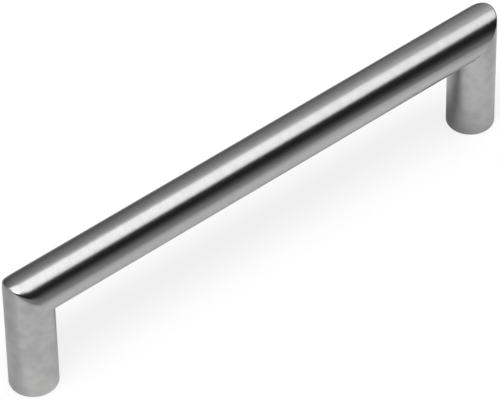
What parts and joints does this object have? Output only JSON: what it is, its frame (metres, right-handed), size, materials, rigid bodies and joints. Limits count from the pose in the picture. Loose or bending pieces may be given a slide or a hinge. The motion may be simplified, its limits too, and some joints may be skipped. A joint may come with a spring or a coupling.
{
  "type": "mitred bar pull",
  "caption": "Round tubular cabinet pull with a straight grip mitred into straight legs, tapped in the feet for screws through a drawer or door front.",
  "frame": {"origin": "midway between the two feet, on the plane of the drawer front that they bear on", "axes": "+X along the grip, +Z out from the drawer front, +Y across the grip"},
  "size_m": [0.174, 0.014, 0.04],
  "materials": {
    "satin_steel": "satin",
    "turned_steel": "machined"
  },
  "bodies": {
    "root": {"grip_bar": "satin_steel", "left_leg": "satin_steel", "right_leg": "satin_steel", "left_screw_insert": "turned_steel", "right_screw_insert": "turned_steel"}
  },
  "joints": []
}
